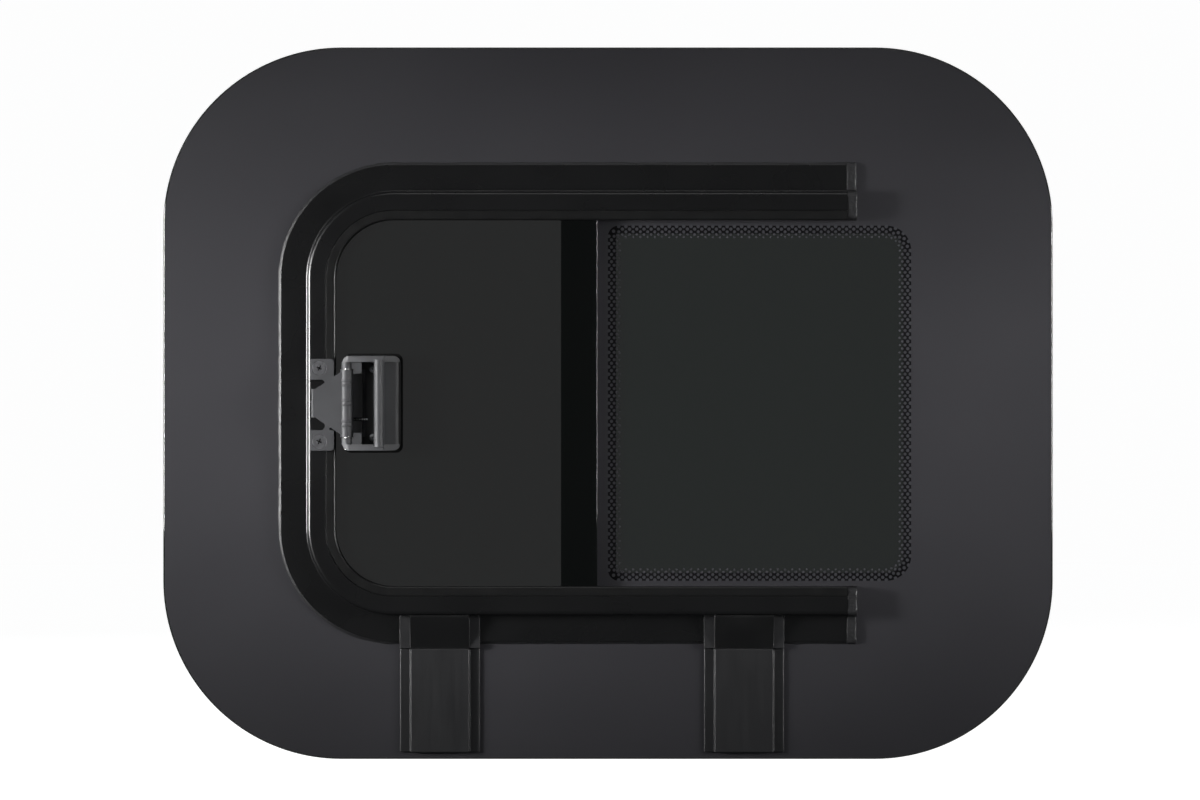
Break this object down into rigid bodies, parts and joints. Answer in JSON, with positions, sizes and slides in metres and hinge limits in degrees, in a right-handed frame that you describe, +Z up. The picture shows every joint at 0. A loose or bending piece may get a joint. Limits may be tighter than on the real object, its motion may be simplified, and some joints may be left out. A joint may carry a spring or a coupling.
{
  "type": "half-slider camper window",
  "caption": "Bonded dark glass vehicle window with a sliding vent pane in a U-shaped track, a spring latch and keeper, mullion seal and drain ducts.",
  "frame": {"origin": "centre of the main glass on its inner face, which is bonded to the body of the vehicle", "axes": "+Z up, +X to the right seen from inside the vehicle, -Y towards the inside; the pane opens along +X"},
  "size_m": [0.5, 0.035, 0.4],
  "materials": {
    "privacy_glass": "polished dark privacy glass",
    "pane_glass": "polished dark privacy glass",
    "frit": "fired black enamel, satin",
    "black_metal": "satin black coating",
    "seal_rubber": "matte black rubber",
    "channel_rubber": "flocked black rubber",
    "sealant": "cured black sealant, semi-gloss",
    "pile": "short black pile",
    "black_plastic": "black moulded plastic",
    "drain_plastic": "black vacuum-formed plastic",
    "latch_plastic": "dark grey moulded plastic, fine texture",
    "hook_plastic": "dark grey moulded plastic",
    "screw_steel": "zinc-plated steel",
    "pin_steel": "ground steel",
    "spring_steel": "drawn spring wire",
    "zinc_plate": "zinc-plated steel",
    "glide_nylon": "black nylon",
    "foam_tape": "black foam tape"
  },
  "bodies": {
    "window": {"main_glass": "privacy_glass", "track_adhesive": "sealant", "track_rail": "black_metal", "run_channel": "channel_rubber", "inner_lip_seal": "seal_rubber", "vent_seal": "seal_rubber", "mullion_carrier": "black_plastic", "mullion_pile": "pile", "closing_buffer": "seal_rubber", "end_stop_top": "black_plastic", "end_stop_bottom": "black_plastic", "end_plug_top": "sealant", "end_plug_bottom": "sealant", "keeper": "latch_plastic", "keeper_screws": "screw_steel", "keeper_nut_plate": "zinc_plate", "drain_hood_left": "drain_plastic", "drain_hood_right": "drain_plastic", "drain_duct_left": "drain_plastic", "drain_duct_right": "drain_plastic", "drain_tape": "foam_tape"},
    "slider": {"sliding_pane": "pane_glass", "glides_top": "glide_nylon", "glides_bottom": "glide_nylon", "latch_pad": "foam_tape", "latch_base": "latch_plastic", "latch_housing": "latch_plastic", "latch_screws": "screw_steel", "latch_pin": "pin_steel", "latch_spring": "spring_steel"},
    "hook": {"latch_hook": "hook_plastic"}
  },
  "joints": [
    {"name": "pane_slide", "type": "slide", "parent": "window", "child": "slider", "axis": [1, 0, 0], "range_m": [0, 0.125]},
    {"name": "hook_pivot", "type": "hinge", "parent": "slider", "child": "hook", "pos_m": [-0.146, -0.0205, 0], "axis": [0, 0, 1], "range_deg": [0, 22], "stiffness_Nm_per_rad": 0.02, "springref_deg": -20.05}
  ]
}
